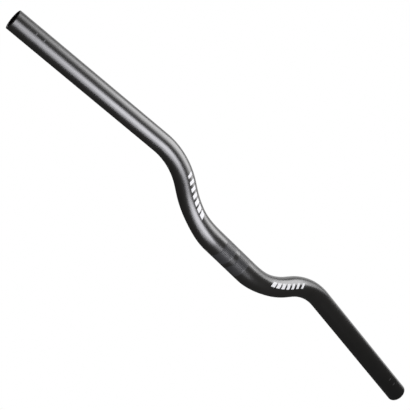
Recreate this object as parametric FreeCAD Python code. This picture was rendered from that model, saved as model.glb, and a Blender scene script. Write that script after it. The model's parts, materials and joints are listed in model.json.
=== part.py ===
import FreeCAD, Part
import os
from math import acos, cos, degrees, pi, radians, sin, tan

# A riser handlebar for a mountain bike: one aluminium tube, swaged thinner towards the grips and bent four times.
# The origin is on the tube's axis, in the middle of the zone that the stem clamps. +Z is up, the front of the bar
# faces -Y, and the grips sweep back towards the rider at +Y. +X is the rider's left.

# Driving dimensions, in millimetres and degrees
WIDTH = 650.0  # between the centres of the two end faces, along X
RISE = 42.0  # height of the grips' axes above the clamp zone's axis
BACKSWEEP = 9.0  # angle of each grip to the X axis, seen from above
CLAMP_LENGTH = 54.0  # straight middle that the stem clamps
CLAMP_DIAMETER = 25.4
CLAMP_WALL = 2.6
GRIP_DIAMETER = 22.2
GRIP_WALL = 2.2
LOWER_BEND_RADIUS = 88.0  # on the tube's axis, as the bending die sets it
UPPER_BEND_RADIUS = 72.0
RISER_LENGTH = 8.0  # straight tube left between the lower and the upper bend
TAPER_LENGTH = 36.0  # along the axis, from the end of the clamp zone into the lower bend
EDGE_BREAK = 0.4  # chamfer on the cut ends, inside and out

TAPER_SECTIONS = 7
HALVINGS = 60

Vector = FreeCAD.Vector
ORIGIN = Vector(0, 0, 0)
ALONG_CLAMP = Vector(1, 0, 0)
ALONG_GRIP = Vector(cos(radians(BACKSWEEP)), sin(radians(BACKSWEEP)), 0)


def along_riser(lean):
    return Vector(cos(lean), 0, sin(lean))


def tangent_length(radius, before, after):
    """The length that a bend takes from each of the two lines that it rounds off."""
    return radius * tan(acos(before.dot(after)) / 2)


def climb(lean):
    """How far the lower bend, the riser and the upper bend rise when the riser leans by this angle."""
    riser = along_riser(lean)
    lower = tangent_length(LOWER_BEND_RADIUS, ALONG_CLAMP, riser)
    upper = tangent_length(UPPER_BEND_RADIUS, riser, ALONG_GRIP)
    return (lower + RISER_LENGTH + upper) * sin(lean)


def lean_for(rise):
    """The riser's slope, in radians: the bends' radii are given, so the rise sets how far they turn."""
    low, high = 0, pi / 2
    for _ in range(HALVINGS):
        middle = (low + high) / 2
        if climb(middle) < rise:
            low = middle
        else:
            high = middle
    return low


# The axis of the +X half is a polyline from the origin, with its two corners rounded by the bends
ALONG_RISER = along_riser(lean_for(RISE))
LOWER_TANGENT = tangent_length(LOWER_BEND_RADIUS, ALONG_CLAMP, ALONG_RISER)
UPPER_TANGENT = tangent_length(UPPER_BEND_RADIUS, ALONG_RISER, ALONG_GRIP)
CLAMP_END = ALONG_CLAMP * (CLAMP_LENGTH / 2)
RISER_START = CLAMP_END + (ALONG_CLAMP + ALONG_RISER) * LOWER_TANGENT
RISER_END = RISER_START + ALONG_RISER * RISER_LENGTH
GRIP_START = RISER_END + (ALONG_RISER + ALONG_GRIP) * UPPER_TANGENT
BAR_END = GRIP_START + ALONG_GRIP * ((WIDTH / 2 - GRIP_START.x) / ALONG_GRIP.x)


class Bend:
    """An arc of the axis that turns from one direction to another."""

    def __init__(self, start, before, after, radius):
        self.start = start
        self.before = before
        self.normal = before.cross(after).normalize()
        self.centre = start + self.normal.cross(before) * radius
        self.turn = before.getAngle(after)

    def ring(self, angle, radius):
        """A circle around the axis, this far round the bend."""
        ring = Part.Wire(Part.makeCircle(radius, self.start, self.before))
        ring.rotate(self.centre, self.normal, degrees(angle))
        return ring

    def plain(self, angle, radius):
        """The bend from this angle to its end, at one radius."""
        face = Part.Face(self.ring(angle, radius))
        return face.revolve(self.centre, self.normal, degrees(self.turn - angle))

    def tapered(self, angle, first_radius, last_radius):
        """The bend up to this angle, its radius easing from the first to the last with a level start and end."""
        rings = []
        for section in range(TAPER_SECTIONS):
            share = section / (TAPER_SECTIONS - 1)
            eased = share * share * (3 - 2 * share)
            rings.append(self.ring(angle * share, first_radius + (last_radius - first_radius) * eased))
        return Part.makeLoft(rings, True)


def straight(start, end, radius):
    run = end - start
    return Part.makeCylinder(radius, run.Length, start, run)


def bar(clamp_radius, grip_radius):
    """A solid bar along the whole axis, thicker in the clamp zone than at the grips."""
    lower = Bend(CLAMP_END, ALONG_CLAMP, ALONG_RISER, LOWER_BEND_RADIUS)
    upper = Bend(RISER_END, ALONG_RISER, ALONG_GRIP, UPPER_BEND_RADIUS)
    taper_end = TAPER_LENGTH / LOWER_BEND_RADIUS
    half = [
        straight(ORIGIN, CLAMP_END, clamp_radius),
        lower.tapered(taper_end, clamp_radius, grip_radius),
        lower.plain(taper_end, grip_radius),
        straight(RISER_START, RISER_END, grip_radius),
        upper.plain(0, grip_radius),
        straight(GRIP_START, BAR_END, grip_radius),
    ]
    other_half = [piece.mirror(ORIGIN, ALONG_CLAMP) for piece in half]
    return half[0].multiFuse(half[1:] + other_half).removeSplitter()


def end_edges(shape):
    """The inner and outer edges of both cut ends."""
    far_end = Vector(-BAR_END.x, BAR_END.y, BAR_END.z)
    return [
        edge
        for edge in shape.Edges
        if any(edge.CenterOfMass.isEqual(centre, EDGE_BREAK) for centre in (BAR_END, far_end))
    ]


def handlebar():
    skin = bar(CLAMP_DIAMETER / 2, GRIP_DIAMETER / 2)
    bore = bar(CLAMP_DIAMETER / 2 - CLAMP_WALL, GRIP_DIAMETER / 2 - GRIP_WALL)
    tube = skin.cut(bore)
    return tube.makeChamfer(EDGE_BREAK, end_edges(tube))


os.makedirs("parts", exist_ok=True)
handlebar().exportStep("parts/handlebar.step")
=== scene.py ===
import json
from math import ceil, cos, pi, radians, sin, tan

import bpy
from mathutils import Matrix, Vector


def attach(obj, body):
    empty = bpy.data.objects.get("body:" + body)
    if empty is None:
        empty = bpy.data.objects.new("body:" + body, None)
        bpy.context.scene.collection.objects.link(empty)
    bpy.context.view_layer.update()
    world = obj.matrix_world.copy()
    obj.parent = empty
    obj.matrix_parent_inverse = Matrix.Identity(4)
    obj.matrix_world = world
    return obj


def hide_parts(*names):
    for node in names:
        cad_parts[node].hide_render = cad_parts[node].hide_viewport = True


# A riser handlebar in satin black, redrawn as one swept mesh with its two textured bands, its print and
# its cut marks, and the camera, lights and studio that it is pictured in.
# Lengths are in metres and angles in radians.

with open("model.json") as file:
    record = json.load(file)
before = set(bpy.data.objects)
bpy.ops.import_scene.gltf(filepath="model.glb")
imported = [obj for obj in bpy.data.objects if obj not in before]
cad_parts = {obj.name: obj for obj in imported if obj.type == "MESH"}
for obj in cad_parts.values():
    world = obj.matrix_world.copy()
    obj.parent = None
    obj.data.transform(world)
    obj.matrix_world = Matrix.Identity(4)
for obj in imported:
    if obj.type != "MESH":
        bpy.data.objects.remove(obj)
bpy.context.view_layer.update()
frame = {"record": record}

# Sizes that the part states
MILLIMETRE = 0.001
MOUNTS = {mount["name"]: mount for mount in frame["record"]["mounts"]}


def stated(mount, size):
    return MOUNTS[mount]["dims"][size] * MILLIMETRE


CLAMP_RADIUS = stated("stem_clamp", "r_mm")
CLAMP_LENGTH = stated("stem_clamp", "length_mm")
GRIP_RADIUS = stated("left_grip", "r_mm")
GRIP_LENGTH = stated("left_grip", "length_mm")
BORE_RADIUS = stated("left_end_bore", "r_mm")
GRIP_OUTER = Vector(MOUNTS["left_grip"]["pos_m"])
ALONG_GRIP = Vector(MOUNTS["left_grip"]["axis"]).normalized()

# Sizes of the tube that no mount states
LOWER_BEND_RADIUS = 0.088
UPPER_BEND_RADIUS = 0.072
TAPER_LENGTH = 0.036
CLAMP_WALL = 0.0026
EDGE_BREAK = 0.0004

# The bands of small square studs that keep the bar from turning in the stem
BAND_START = 0.00275
BAND_END = 0.01825
STUDS_ALONG = 9
STUDS_ROUND = 48
STUD_HEIGHT = 0.00013
STUD_VERTICES = 4  # two on the stud's crest and two in the groove beside it

# The mesh
SEGMENTS = 96
STEP_IN_BENDS = 0.0015
STEP_ON_STRAIGHTS = 0.012
BORE_STEP = 0.004
SETTLING_PASSES = 300
SHARP_ANGLE = radians(30)

# The print on each riser: a row of slanted dashes that get thinner towards the grip
PRINT_START = 0.0585
PRINT_LENGTH = 0.0504
PRINT_HEIGHT = 0.0060
PRINT_CENTRE = 0.0002  # from the front line, up round the tube
DASH_PITCH = 0.0072
DASH_SHARE_FIRST = 0.80
DASH_SHARE_LAST = 0.40
DASH_SLANT = radians(28)

# The marks that show where the ends may be cut
MARK_FIRST = 0.024  # from the end of the bar
MARK_PITCH = 0.010
MARK_COUNT = 2
MARK_WIDTH = 0.0008
MARK_LOW = -0.0050
MARK_HIGH = -0.0012

ALONG_CLAMP = Vector((1, 0, 0))
FRONT = Vector((0, -1, 0))
UP = Vector((0, 0, 1))


# The bar's axis

class Run:
    """A straight or bent stretch of the axis, with the directions along, front and up at its start."""

    def __init__(self, start, axes, length, after=None, radius=0):
        self.start = start
        self.axes = axes
        self.length = length
        self.radius = radius
        if radius:
            self.normal = axes[0].cross(after).normalized()
            self.centre = start + self.normal.cross(axes[0]) * radius
            self.length = axes[0].angle(after) * radius

    def at(self, distance):
        """The point and the three directions this far along the run."""
        if not self.radius:
            return self.start + self.axes[0] * distance, self.axes
        turn = Matrix.Rotation(distance / self.radius, 3, self.normal)
        return self.centre + turn @ (self.start - self.centre), [turn @ axis for axis in self.axes]


def tangent_length(radius, before, after):
    """The length that a bend takes from each of the two lines that it rounds off."""
    return radius * tan(before.angle(after) / 2)


def half_axis():
    """The runs from the middle of the bar to its +X end."""
    clamp_end = ALONG_CLAMP * (CLAMP_LENGTH / 2)
    grip_start = GRIP_OUTER - ALONG_GRIP * GRIP_LENGTH
    along_riser = (grip_start - clamp_end).normalized()
    # Each pass moves the two corners to suit the slope that the pass before gave the riser
    for _ in range(SETTLING_PASSES):
        lower = tangent_length(LOWER_BEND_RADIUS, ALONG_CLAMP, along_riser)
        upper = tangent_length(UPPER_BEND_RADIUS, along_riser, ALONG_GRIP)
        riser = grip_start - ALONG_GRIP * upper - clamp_end - ALONG_CLAMP * lower
        along_riser = riser.normalized()
    runs = [Run(Vector(), [ALONG_CLAMP, FRONT, UP], CLAMP_LENGTH / 2)]
    for length, after, radius in (
        (0, along_riser, LOWER_BEND_RADIUS),
        (riser.length - lower - upper, None, 0),
        (0, ALONG_GRIP, UPPER_BEND_RADIUS),
        (GRIP_LENGTH + EDGE_BREAK, None, 0),
    ):
        last = runs[-1]
        start, axes = last.at(last.length)
        runs.append(Run(start, axes, length, after, radius))
    return runs


HALF_AXIS = half_axis()
HALF_LENGTH = sum(run.length for run in HALF_AXIS)


def axis_at(distance):
    """The axis this far from the middle of the bar; the half at -X mirrors the other."""
    left = abs(distance)
    for run in HALF_AXIS:
        if left <= run.length or run is HALF_AXIS[-1]:
            break
        left -= run.length
    point, axes = run.at(left)
    if distance < 0:
        flip = Matrix.Diagonal((-1, 1, 1))
        return flip @ point, [flip @ axis for axis in axes]
    return point, axes


def swaged(distance, clamp_radius, grip_radius):
    """The radius this far from the middle, easing from the clamp zone's to the grips'."""
    share = (abs(distance) - CLAMP_LENGTH / 2) / TAPER_LENGTH
    share = min(max(share, 0), 1)
    return clamp_radius + (grip_radius - clamp_radius) * share * share * (3 - 2 * share)


def skin_radius(distance):
    return swaged(distance, CLAMP_RADIUS, GRIP_RADIUS)


def bore_radius(distance):
    return swaged(distance, CLAMP_RADIUS - CLAMP_WALL, BORE_RADIUS)


# The mesh

class Ring:
    """A closed row of vertices around the axis, at its place along the section's outline."""

    def __init__(self, distance, radius, finish, heights=None):
        self.distance = distance
        self.radius = radius
        self.finish = finish  # of the faces between this ring and the next
        self.heights = heights or [0] * SEGMENTS

    def angle(self, index):
        """Counted from the front line towards the top; the seam is at the back."""
        return 2 * pi * index / len(self.heights) - pi

    def vertices(self):
        point, (_, front, up) = axis_at(self.distance)
        for index, height in enumerate(self.heights):
            angle = self.angle(index)
            yield point + (front * cos(angle) + up * sin(angle)) * (self.radius + height)


def stations(start, end, step):
    """Even places from the start up to, and without, the end."""
    count = max(1, ceil((end - start) / step))
    return [start + (end - start) * index / count for index in range(count)]


def half_stations(bend_step, straight_step):
    """Places along the +X half, from the end of the clamp zone to the end of the bar."""
    places = []
    start = CLAMP_LENGTH / 2
    for run in HALF_AXIS[1:]:
        places += stations(start, start + run.length, bend_step if run.radius else straight_step)
        start += run.length
    return [place for place in places if place < HALF_LENGTH - 2 * EDGE_BREAK]


def on_crest(index):
    return index % STUD_VERTICES in (1, 2)


def band_rings():
    """The rings of one band at +X, from its inner to its outer edge; the grooves run out towards both."""
    rows = STUDS_ALONG * STUD_VERTICES - 1
    columns = range(STUDS_ROUND * STUD_VERTICES)
    rings = [Ring(BAND_START, CLAMP_RADIUS, "studs")]
    for row in range(1, rows):
        depth = STUD_HEIGHT * min(1, row / STUD_VERTICES, (rows - row) / STUD_VERTICES)
        heights = [0 if on_crest(row) and on_crest(column) else -depth for column in columns]
        place = BAND_START + (BAND_END - BAND_START) * row / rows
        rings.append(Ring(place, CLAMP_RADIUS, "studs", heights))
    return rings + [Ring(BAND_END, CLAMP_RADIUS, "skin")]


def skin_rings():
    """The outer surface from the -X end to the +X end."""
    places = half_stations(STEP_IN_BENDS, STEP_ON_STRAIGHTS)
    half = band_rings() + [Ring(place, skin_radius(place), "skin") for place in places]
    half.append(Ring(HALF_LENGTH - EDGE_BREAK, GRIP_RADIUS, "end"))
    half.append(Ring(HALF_LENGTH, GRIP_RADIUS - EDGE_BREAK, "end"))
    # Mirrored, the faces after a ring are those that came before it
    mirrored = []
    finish = "skin"
    for ring in half:
        mirrored.append(Ring(-ring.distance, ring.radius, finish, ring.heights))
        finish = ring.finish
    return mirrored[::-1] + half


def bore_rings():
    """The inner surface, from the +X end back to the -X end."""
    places = [0] + half_stations(BORE_STEP, STEP_ON_STRAIGHTS)
    half = [Ring(place, bore_radius(place), "bore") for place in places]
    half.append(Ring(HALF_LENGTH - EDGE_BREAK, BORE_RADIUS, "bore"))
    half.append(Ring(HALF_LENGTH, BORE_RADIUS + EDGE_BREAK, "end"))
    mirrored = [Ring(-ring.distance, ring.radius, ring.finish) for ring in half[1:]]
    mirrored[-2].finish = "end"  # the chamfer at -X comes after its ring, not before
    return half[::-1] + mirrored


FINISHES = ["skin", "studs", "end", "bore"]
SKIN_STRIPS = 3
STRIPS = SKIN_STRIPS + 1  # the last one holds the bore and the ends
STRIP_MARGIN = 0.02


def bake_place(ring, strip, angle):
    """Where a corner lies when the surface is cut into strips that are stacked on a square."""
    if strip < SKIN_STRIPS:
        share = (ring.distance + HALF_LENGTH) / (2 * HALF_LENGTH) * SKIN_STRIPS - strip
    else:
        depth = (ring.radius - BORE_RADIUS) / (2 * HALF_LENGTH)
        share = 0.5 + ring.distance / (2 * HALF_LENGTH) + (depth if ring.distance > 0 else -depth)
    turn = angle / (2 * pi) + 0.5
    inside = 1 - 2 * STRIP_MARGIN
    return STRIP_MARGIN + inside * share, (strip + STRIP_MARGIN + inside * turn) / STRIPS


def bake_strip(first, second):
    """The strip that the faces between two rings lie on."""
    if first.finish not in ("skin", "studs"):
        return SKIN_STRIPS
    middle = (first.distance + second.distance) / 2
    return int((middle + HALF_LENGTH) / (2 * HALF_LENGTH) * SKIN_STRIPS)


def bridge(first, second):
    """The faces between two rings, as rows of (ring, index); one ring may be a whole number finer."""
    count = min(len(first.heights), len(second.heights))
    step_first = len(first.heights) // count
    step_second = len(second.heights) // count
    for index in range(count):
        near = [(first, index * step_first + k) for k in range(step_first + 1)]
        far = [(second, index * step_second + k) for k in range(step_second + 1)]
        yield [near[0]] + far + near[:0:-1]


def mark_sharp_edges(mesh):
    """The edges that turn sharply, and those where one finish meets another."""
    mesh.set_sharp_from_angle(angle=SHARP_ANGLE)
    finishes_at = {}
    for face in mesh.polygons:
        for edge in face.edge_keys:
            finishes_at.setdefault(edge, set()).add(face.material_index)
    for edge in mesh.edges:
        if len(finishes_at[edge.key]) > 1:
            edge.use_edge_sharp = True


def add_map(mesh, name, places):
    flat = [value for place in places for value in place]
    mesh.uv_layers.new(name=name).data.foreach_set("uv", flat)


def swept_mesh(name):
    """The whole tube, closed through its bore, with a map in metres and one for baking."""
    rings = skin_rings() + bore_rings()
    points = []
    first_vertex = {}
    for ring in rings:
        first_vertex[ring] = len(points)
        points += ring.vertices()
    faces, finishes, surface_places, bake_places = [], [], [], []
    for first, second in zip(rings, rings[1:] + rings[:1]):
        strip = bake_strip(first, second)
        for corners in bridge(first, second):
            faces.append([first_vertex[ring] + index % len(ring.heights) for ring, index in corners])
            finishes.append(FINISHES.index(first.finish))
            for ring, index in corners:
                angle = ring.angle(index)
                surface_places.append((ring.distance, angle * GRIP_RADIUS))
                bake_places.append(bake_place(ring, strip, angle))
    mesh = bpy.data.meshes.new(name)
    mesh.from_pydata(points, [], faces)
    mesh.polygons.foreach_set("material_index", finishes)
    mesh.polygons.foreach_set("use_smooth", [True] * len(faces))
    add_map(mesh, "surface", surface_places)
    add_map(mesh, "OFBake", bake_places)
    mesh.validate()
    mark_sharp_edges(mesh)
    return mesh


# Materials

# The sockets that a Mix node has for colours
MIX_SHARE = 0
MIX_FIRST = 6
MIX_SECOND = 7
MIX_RESULT = 2


class Shader:
    """A material's node tree, with short ways to add to it."""

    def __init__(self, name):
        self.material = bpy.data.materials.new(name)
        self.material.use_nodes = True
        self.nodes = self.material.node_tree.nodes
        self.links = self.material.node_tree.links
        self.surface = self.nodes["Principled BSDF"]

    def add(self, kind, **settings):
        node = self.nodes.new(kind)
        for key, value in settings.items():
            setattr(node, key, value)
        return node

    def put(self, socket, value):
        if isinstance(value, bpy.types.NodeSocket):
            self.links.new(value, socket)
        else:
            socket.default_value = value

    def math(self, operation, *values):
        node = self.add("ShaderNodeMath", operation=operation)
        for socket, value in zip(node.inputs, values):
            self.put(socket, value)
        return node.outputs[0]

    def between(self, value, low, high):
        above = self.math("GREATER_THAN", value, low)
        below = self.math("LESS_THAN", value, high)
        return self.math("MULTIPLY", above, below)

    def grade(self, value, low, high, first, last):
        """The value's way from low to high, as a number from the first to the last."""
        node = self.add("ShaderNodeMapRange")
        for socket, number in zip(node.inputs, (value, low, high, first, last)):
            self.put(socket, number)
        return node.outputs[0]

    def mix(self, share, first, second):
        node = self.add("ShaderNodeMix", data_type="RGBA")
        self.put(node.inputs[MIX_SHARE], share)
        self.put(node.inputs[MIX_FIRST], first)
        self.put(node.inputs[MIX_SECOND], second)
        return node.outputs[MIX_RESULT]

    def noise(self, scale, detail, stretch):
        """Grain in the object's own space, this many times a metre."""
        place = self.add("ShaderNodeTexCoord").outputs["Object"]
        mapping = self.add("ShaderNodeMapping")
        mapping.inputs["Scale"].default_value = stretch
        self.links.new(place, mapping.inputs["Vector"])
        node = self.add("ShaderNodeTexNoise")
        self.links.new(mapping.outputs[0], node.inputs["Vector"])
        node.inputs["Scale"].default_value = scale
        node.inputs["Detail"].default_value = detail
        return node.outputs[0]

    def bump(self, height, depth):
        node = self.add("ShaderNodeBump")
        node.inputs["Strength"].default_value = 1
        node.inputs["Distance"].default_value = depth
        self.links.new(height, node.inputs["Height"])
        self.links.new(node.outputs[0], self.surface.inputs["Normal"])

    def surface_map(self):
        """Metres along the bar from its middle, and round the tube from the front line."""
        place = self.add("ShaderNodeUVMap", uv_map="surface").outputs[0]
        split = self.add("ShaderNodeSeparateXYZ")
        self.links.new(place, split.inputs[0])
        return split.outputs[0], split.outputs[1]

    def finished(self, colour, roughness):
        """The material, with this colour and roughness on its surface."""
        self.put(self.surface.inputs["Base Color"], colour)
        self.put(self.surface.inputs["Roughness"], roughness)
        return self.material


BLACK = (0.0089, 0.0082, 0.0067, 1)
BLACK_WORN = (0.0138, 0.0129, 0.0114, 1)
STUDS_BLACK = (0.0306, 0.0306, 0.032, 1)
STUDS_WORN = (0.0424, 0.0424, 0.0438, 1)
INK = (0.82, 0.82, 0.82, 1)
MARK = (0.1, 0.1, 0.101, 1)
BORE_GREY = (0.0062, 0.0060, 0.0055, 1)
OXIDE_IOR = 2.13
SATIN_ROUGHNESS = 0.285
STUDS_ROUGHNESS = 0.34
STUDS_GLOSS = 0.30
INK_ROUGHNESS = 0.75
BORE_ROUGHNESS = 0.55
ROUGHNESS_DRIFT = 0.03
CLOUD_SCALE = 60
CLOUD_DETAIL = 3
GRAIN_SCALE = 2600
GRAIN_DETAIL = 2
GRAIN_DEPTH = 0.0000003
CLOUD_AND_GRAIN = (0.6, 1.4)  # where the two noises, added up, mostly lie
EVEN = (1, 1, 1)
STREAK_STRETCH = (1, 20, 20)  # finer across the bar than along it
STREAK_DETAIL = 4
STREAK_RANGE = (0.3, 0.7)


class Alloy(Shader):
    """Black anodised aluminium, finely blasted, with the noise that its tone and roughness drift by."""

    def __init__(self, name, detail=CLOUD_DETAIL, stretch=EVEN):
        super().__init__(name)
        self.cloud = self.noise(CLOUD_SCALE, detail, stretch)
        self.grain = self.noise(GRAIN_SCALE, GRAIN_DETAIL, EVEN)
        self.surface.inputs["IOR"].default_value = OXIDE_IOR
        self.bump(self.grain, GRAIN_DEPTH)

    def tone(self, dark, worn):
        return self.mix(self.cloud, dark, worn)

    def satin(self, roughness):
        both = self.math("ADD", self.cloud, self.grain)
        return self.grade(both, *CLOUD_AND_GRAIN, roughness - ROUGHNESS_DRIFT, roughness + ROUGHNESS_DRIFT)


def print_mask(shader, along, around):
    """1 on the dashes of the print, 0 beside them."""
    out = shader.math("SUBTRACT", shader.math("ABSOLUTE", along), PRINT_START)
    across = shader.math("SUBTRACT", around, PRINT_CENTRE)
    slanted = shader.math("MULTIPLY_ADD", across, -tan(DASH_SLANT), out)
    cell = shader.math("FRACT", shader.math("DIVIDE", slanted, DASH_PITCH))
    share = shader.grade(slanted, 0, PRINT_LENGTH, DASH_SHARE_FIRST, DASH_SHARE_LAST)
    dashes = shader.math("LESS_THAN", cell, share)
    row = shader.between(across, -PRINT_HEIGHT / 2, PRINT_HEIGHT / 2)
    length = shader.between(slanted, 0, PRINT_LENGTH)
    return shader.math("MULTIPLY", shader.math("MULTIPLY", dashes, row), length)


def mark_mask(shader, along, around):
    """1 on the cut marks, 0 beside them."""
    inset = shader.math("SUBTRACT", HALF_LENGTH, shader.math("ABSOLUTE", along))
    counted = shader.math("DIVIDE", shader.math("SUBTRACT", inset, MARK_FIRST), MARK_PITCH)
    line = shader.math("LESS_THAN", shader.math("FRACT", counted), MARK_WIDTH / MARK_PITCH)
    lines = shader.math("MULTIPLY", line, shader.between(counted, 0, MARK_COUNT))
    return shader.math("MULTIPLY", lines, shader.between(around, MARK_LOW, MARK_HIGH))


def skin_material():
    """The outer surface, with its print and its cut marks."""
    alloy = Alloy("satin_black")
    along, around = alloy.surface_map()
    ink = print_mask(alloy, along, around)
    mark = mark_mask(alloy, along, around)
    marked = alloy.mix(mark, alloy.tone(BLACK, BLACK_WORN), MARK)
    printed = alloy.math("MAXIMUM", ink, mark)
    roughness = alloy.grade(printed, 0, 1, alloy.satin(SATIN_ROUGHNESS), INK_ROUGHNESS)
    return alloy.finished(alloy.mix(ink, marked, INK), roughness)


def studs_material():
    """The two bands."""
    alloy = Alloy("satin_black_studs")
    alloy.surface.inputs["Specular IOR Level"].default_value = STUDS_GLOSS
    return alloy.finished(alloy.tone(STUDS_BLACK, STUDS_WORN), alloy.satin(STUDS_ROUGHNESS))


def end_material():
    """The cut ends, anodised with the rest."""
    alloy = Alloy("satin_black_ends")
    return alloy.finished(alloy.tone(BORE_GREY, BLACK), alloy.satin(SATIN_ROUGHNESS))


def bore_material():
    """The inside, with the faint lines that drawing the tube leaves along it."""
    alloy = Alloy("drawn_bore", STREAK_DETAIL, STREAK_STRETCH)
    roughness = alloy.grade(alloy.cloud, *STREAK_RANGE, BORE_ROUGHNESS, SATIN_ROUGHNESS)
    return alloy.finished(alloy.tone(BORE_GREY, BLACK), roughness)


def add_handlebar():
    mesh = swept_mesh("handlebar_swept")
    for material in (skin_material(), studs_material(), end_material(), bore_material()):
        mesh.materials.append(material)
    piece = bpy.data.objects.new("handlebar_swept", mesh)
    bpy.context.collection.objects.link(piece)
    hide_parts("handlebar")
    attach(piece, "root")


# The camera, as it stands in the photograph

CAMERA_PLACE = Vector((-0.73841, -1.07670, -0.59562))
CAMERA_AIM = Vector((-0.04799, 0.01275, 0.03073))
CAMERA_ROLL = 0.50283
LENS = 121.81  # in millimetres, as cameras state it
SENSOR = 36  # in millimetres too


def turned_to(place, aim, roll):
    """The pose of a camera or lamp that looks from a place at a point, rolled about its line of sight."""
    back = (place - aim).normalized()
    right = UP.cross(back).normalized()
    pose = Matrix((right, back.cross(right), back)).transposed()
    return Matrix.Translation(place) @ pose.to_4x4() @ Matrix.Rotation(roll, 4, "Z")


def add_camera():
    data = bpy.data.cameras.new("photo_camera")
    data.lens = LENS
    data.sensor_width = SENSOR
    camera = bpy.data.objects.new("photo_camera", data)
    camera.matrix_world = turned_to(CAMERA_PLACE, CAMERA_AIM, CAMERA_ROLL)
    bpy.context.collection.objects.link(camera)
    bpy.context.scene.camera = camera


# The studio: a low and a high softbox in front, a pale card, a dark sheet around that glows faintly as a
# painted reflection of dark cloth, and white above at the back.
# A brightness of 1 is the white of the background.

LOW_BOX = dict(
    place=(-0.212, -0.627, -0.541),
    aim=(-0.966, -0.018, -0.217),
    roll=0.004,
    size=(1.006, 0.782),
)
LOW_BOX_LIGHT = (2.60, 2.59, 2.745)
LOW_BOX_CORE = dict(shift=(0.43, 0.56), share=(0.36, 0.58), roll=-0.526, gain=1.10)
HIGH_BOX = dict(
    place=(0.045, -0.659, 0.889),
    aim=(-1.045, -0.182, 0.310),
    roll=-1.376,
    size=(1.224, 1.282),
)
HIGH_BOX_LIGHT = (1.49, 1.483, 1.50)
HIGH_BOX_CORE = dict(shift=(0.25, 0.18), share=(0.55, 0.55), roll=-0.380, gain=1.79)
CORE_GAP = 0.02  # from the box to its core in front of it
FILL_CARD = dict(place=(0.47, -0.62, -0.78), aim=(0, 0, 0), roll=0.06, size=(0.31, 0.40))
FILL_CARD_LIGHT = (0.66, 0.66, 0.70)
AMBIENT = 0.10
# the sheet's faint glow: a painted reflection of dark cloth lit by the softboxes
CLOTH_PAINTED_GLOW = 0.053
CLOTH_PROFILE = [(0.225, 1.6), (-1.3, 1.6), (-1.3, -0.95), (1.6, -0.95), (1.6, 1.04)]  # in y and z
CLOTH_REACH = 4
FLOOR_HEIGHT = -1.0
FLOOR_REACH = 30
FLOOR_PALE = 0.82
FLOOR_FADE = (1.0, 7.0)  # distances from the origin between which the floor turns white
FLOOR_CATCH = (0.10, 0.10, 0.10, 1)  # the part of the floor's tone that takes light and shadow
MATT = 1
WHITE = (1, 1, 1, 1)


def add_lamp(name, light, pose, size):
    """A rectangle that shines evenly, as bright as the light's three values."""
    level = max(light)
    data = bpy.data.lights.new(name, "AREA")
    data.shape = "RECTANGLE"
    data.size, data.size_y = size
    data.color = [value / level for value in light]
    data.energy = pi * level * size[0] * size[1]
    lamp = bpy.data.objects.new(name, data)
    lamp.matrix_world = pose
    lamp.visible_camera = False
    bpy.context.collection.objects.link(lamp)


def stand(box):
    return turned_to(Vector(box["place"]), Vector(box["aim"]), box["roll"])


def add_softbox(name, light, box, core):
    """A softbox with a brighter core, shifted by shares of the box's half sizes."""
    pose = stand(box)
    width, height = box["size"]
    add_lamp(name, light, pose, box["size"])
    across, up = core["shift"]
    shift = Matrix.Translation((across * width / 2, up * height / 2, -CORE_GAP))
    turn = Matrix.Rotation(core["roll"], 4, "Z")
    size = (width * core["share"][0], height * core["share"][1])
    add_lamp(name + "_core", [value * core["gain"] for value in light], pose @ shift @ turn, size)


def seen_directly(nodes, links):
    """1 for rays of the camera, of reflections and through glass, and 0 for those that carry light."""
    path = nodes.new("ShaderNodeLightPath")
    found = path.outputs["Is Camera Ray"]
    for kind in ("Is Glossy Ray", "Is Transmission Ray"):
        both = nodes.new("ShaderNodeMath")
        both.operation = "MAXIMUM"
        links.new(found, both.inputs[0])
        links.new(path.outputs[kind], both.inputs[1])
        found = both.outputs[0]
    return found


def add_world():
    world = bpy.data.worlds.new("studio")
    world.use_nodes = True
    nodes, links = world.node_tree.nodes, world.node_tree.links
    level = nodes.new("ShaderNodeMapRange")
    level.inputs["To Min"].default_value = AMBIENT
    links.new(seen_directly(nodes, links), level.inputs["Value"])
    background = nodes["Background"]
    background.inputs["Color"].default_value = WHITE
    links.new(level.outputs[0], background.inputs["Strength"])
    world.cycles.sampling_method = "NONE"
    bpy.context.scene.world = world


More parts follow.
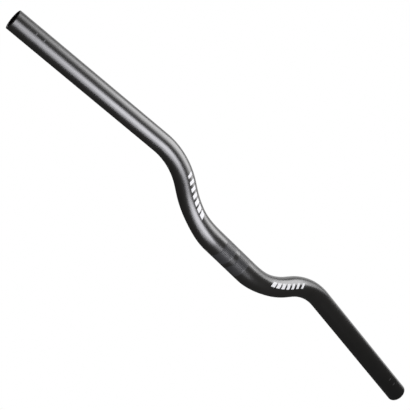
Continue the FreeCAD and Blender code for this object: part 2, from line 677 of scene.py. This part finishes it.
def add_painted_reflection_cloth():
    """A sheet around the bar that glows faintly, a painted reflection of dark cloth that only the bar's
    reflections show.
    """
    points = [(side * CLOTH_REACH, y, z) for side in (-1, 1) for y, z in CLOTH_PROFILE]
    count = len(CLOTH_PROFILE)
    faces = [(k, k + 1, count + k + 1, count + k) for k in range(count - 1)]
    faces += [range(count), range(count, 2 * count)]
    mesh = bpy.data.meshes.new("painted_reflection_cloth")
    mesh.from_pydata(points, [], faces)
    shader = Shader("painted_reflection_cloth")
    # painted reflection: the sheet glows as dark cloth would look under the softboxes
    glow = shader.add("ShaderNodeEmission")
    glow.inputs["Strength"].default_value = CLOTH_PAINTED_GLOW
    shader.links.new(glow.outputs[0], shader.nodes["Material Output"].inputs["Surface"])
    shader.material.cycles.emission_sampling = "NONE"
    mesh.materials.append(shader.material)
    cloth = bpy.data.objects.new("painted_reflection_cloth", mesh)
    bpy.context.collection.objects.link(cloth)
    cloth.visible_camera = False
    cloth.visible_diffuse = False
    cloth.visible_transmission = False
    cloth.visible_shadow = False


def add_floor():
    """A pale floor that fades to the white of the background and catches a soft shadow."""
    reach = FLOOR_REACH
    corners = [(-reach, -reach), (reach, -reach), (reach, reach), (-reach, reach)]
    mesh = bpy.data.meshes.new("floor")
    mesh.from_pydata([(x, y, FLOOR_HEIGHT) for x, y in corners], [], [(0, 1, 2, 3)])
    shader = Shader("floor")
    shader.surface.inputs["Specular IOR Level"].default_value = 0
    place = shader.add("ShaderNodeTexCoord").outputs["Object"]
    length = shader.add("ShaderNodeVectorMath", operation="LENGTH")
    shader.links.new(place, length.inputs[0])
    pale = shader.grade(length.outputs["Value"], *FLOOR_FADE, FLOOR_PALE, 1)
    shader.surface.inputs["Emission Color"].default_value = WHITE
    seen = seen_directly(shader.nodes, shader.links)
    shader.put(shader.surface.inputs["Emission Strength"], shader.math("MULTIPLY", pale, seen))
    shader.material.cycles.emission_sampling = "NONE"
    mesh.materials.append(shader.finished(FLOOR_CATCH, MATT))
    floor = bpy.data.objects.new("floor", mesh)
    bpy.context.collection.objects.link(floor)


add_handlebar()
add_camera()
add_softbox("low_softbox", LOW_BOX_LIGHT, LOW_BOX, LOW_BOX_CORE)
add_softbox("high_softbox", HIGH_BOX_LIGHT, HIGH_BOX, HIGH_BOX_CORE)
add_lamp("fill_card", FILL_CARD_LIGHT, stand(FILL_CARD), FILL_CARD["size"])
add_world()
add_painted_reflection_cloth()
add_floor()
bpy.context.scene.view_settings.view_transform = "Standard"
